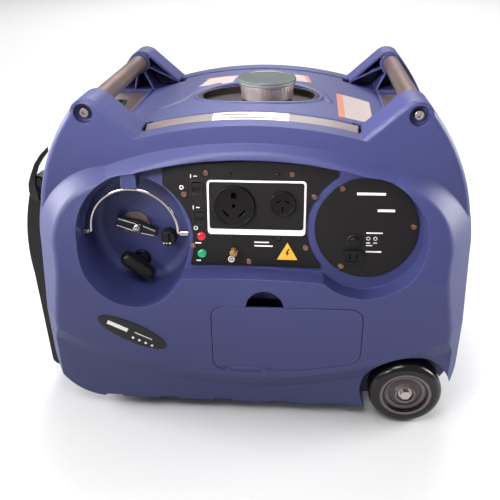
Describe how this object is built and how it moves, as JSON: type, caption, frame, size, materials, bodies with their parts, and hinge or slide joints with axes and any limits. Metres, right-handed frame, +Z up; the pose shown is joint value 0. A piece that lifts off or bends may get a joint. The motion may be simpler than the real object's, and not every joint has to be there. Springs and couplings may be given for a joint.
{
  "type": "inverter generator",
  "caption": "Closed-case portable inverter generator on two wheels, with folding tow handle, carry tubes, control panels, starter bay, fuel cap and service door.",
  "frame": {"origin": "on the floor, under the middle of the overall length (tow handle folded) and depth", "axes": "+X to the right seen from the controls, towards the wheels; +Y to the back, away from the controls; +Z up"},
  "size_m": [0.6083, 0.452, 0.4538],
  "materials": {
    "case_plastic": "moulded, fine spark texture",
    "black_plastic": "moulded, satin",
    "gloss_black": "gloss",
    "panel_black": "satin black paint",
    "taupe_plastic": "satin",
    "brown_plastic": "satin",
    "white_print": "satin",
    "tube_metal": "satin, clear coated",
    "chrome": "polished",
    "zinc_steel": "zinc plated",
    "copper_steel": "copper coloured plating",
    "brass": "turned",
    "red_lens": "red lens",
    "green_lens": "green lens",
    "rubber": "moulded",
    "tyre": "solid, polished",
    "hub_grey": "satin",
    "cast_aluminium": "as cast",
    "black_steel": "black paint",
    "tank_plastic": "blow moulded"
  },
  "bodies": {
    "case": {"air_cleaner": "black_plastic", "alarm_lamp": "red_lens", "alternator_stator": "copper_steel", "bail_brackets": "chrome", "base_tray": "black_steel", "breaker_collar": "black_plastic", "cap_tray": "brown_plastic", "carburettor": "cast_aluminium", "carry_tubes": "tube_metal", "cylinder": "cast_aluminium", "dc_panel": "panel_black", "dc_socket": "gloss_black", "decor_strip": "taupe_plastic", "door_hinge_pin": "case_plastic", "ear_bolts": "chrome", "earth_terminal": "brass", "engine_block": "cast_aluminium", "exhaust_guard": "black_steel", "filler_neck": "chrome", "front_shell": "case_plastic", "fuel_tank": "tank_plastic", "fuel_valve_plate": "taupe_plastic", "inverter_module": "cast_aluminium", "lattice_grille": "black_plastic", "left_hand_tray": "taupe_plastic", "left_side_cover": "case_plastic", "muffler": "black_steel", "panel_screws": "copper_steel", "power_lamp": "green_lens", "rear_shell": "case_plastic", "recoil_housing": "black_steel", "right_hand_tray": "taupe_plastic", "right_side_cover": "case_plastic", "rocker_frames": "black_plastic", "rubber_feet": "rubber", "rv_socket": "gloss_black", "small_socket": "gloss_black", "socket_frame": "white_print", "socket_panel": "panel_black", "top_cover": "case_plastic", "tow_pins": "black_steel", "wheel_axle": "zinc_steel", "wheel_bolts": "chrome"},
    "door": {"maintenance_door": "case_plastic"},
    "tow_handle": {"tow_frame": "black_plastic", "tow_grip": "rubber"},
    "cap": {"fuel_cap": "chrome"},
    "engine_switch": {"engine_rocker": "gloss_black"},
    "econ_switch": {"econ_rocker": "gloss_black"},
    "breaker": {"breaker_button": "gloss_black"},
    "fuel_lever": {"fuel_valve_lever": "black_plastic"},
    "choke": {"choke_knob": "black_plastic"},
    "recoil": {"recoil_grip": "black_plastic"},
    "bail": {"bay_bail": "chrome"},
    "front_wheel": {"front_tyre": "tyre", "front_hub": "hub_grey"},
    "rear_wheel": {"rear_tyre": "tyre", "rear_hub": "hub_grey"},
    "rotor": {"crankshaft": "zinc_steel", "flywheel_fan": "cast_aluminium"}
  },
  "joints": [
    {"name": "door_hinge", "type": "hinge", "parent": "case", "child": "door", "pos_m": [0.0115, -0.2244, 0.088], "axis": [1, 0, 0], "range_deg": [0, 100]},
    {"name": "tow_swing", "type": "hinge", "parent": "case", "child": "tow_handle", "pos_m": [-0.272, 0, 0.333], "axis": [0, 1, 0], "range_deg": [0, 110]},
    {"name": "cap_turn", "type": "hinge", "parent": "case", "child": "cap", "pos_m": [0.0305, -0.014, 0.43], "axis": [0, 0, 1], "range_deg": [0, 180]},
    {"name": "engine_switch_tilt", "type": "hinge", "parent": "case", "child": "engine_switch", "pos_m": [-0.0511, -0.17757, 0.33879], "axis": [1, 0, 0], "range_deg": [-9, 9]},
    {"name": "econ_switch_tilt", "type": "hinge", "parent": "case", "child": "econ_switch", "pos_m": [-0.0489, -0.18367, 0.30027], "axis": [1, 0, 0], "range_deg": [-9, 9]},
    {"name": "breaker_push", "type": "slide", "parent": "case", "child": "breaker", "axis": [0, 0.9877, -0.1564], "range_m": [0, 0.003], "stiffness_N_per_m": 200},
    {"name": "fuel_lever_turn", "type": "hinge", "parent": "case", "child": "fuel_lever", "pos_m": [-0.1425, -0.15, 0.2695], "axis": [0, -1, 0], "range_deg": [0, 75]},
    {"name": "choke_turn", "type": "hinge", "parent": "case", "child": "choke", "pos_m": [-0.0995, -0.148, 0.253], "axis": [0, -1, 0], "range_deg": [0, 60]},
    {"name": "recoil_pull", "type": "slide", "parent": "case", "child": "recoil", "axis": [0, -1, 0], "range_m": [0, 0.55]},
    {"name": "bail_swing", "type": "hinge", "parent": "case", "child": "bail", "pos_m": [-0.1375, -0.185, 0.277], "axis": [1, 0, 0], "range_deg": [0, 110]},
    {"name": "front_wheel_spin", "type": "hinge", "parent": "case", "child": "front_wheel", "pos_m": [0.2355, -0.207, 0.0508], "axis": [0, 1, 0], "continuous": true},
    {"name": "rear_wheel_spin", "type": "hinge", "parent": "case", "child": "rear_wheel", "pos_m": [0.2355, 0.207, 0.0508], "axis": [0, 1, 0], "continuous": true},
    {"name": "crank_spin", "type": "hinge", "parent": "case", "child": "rotor", "pos_m": [-0.1335, 0, 0.165], "axis": [0, 1, 0], "continuous": true}
  ]
}
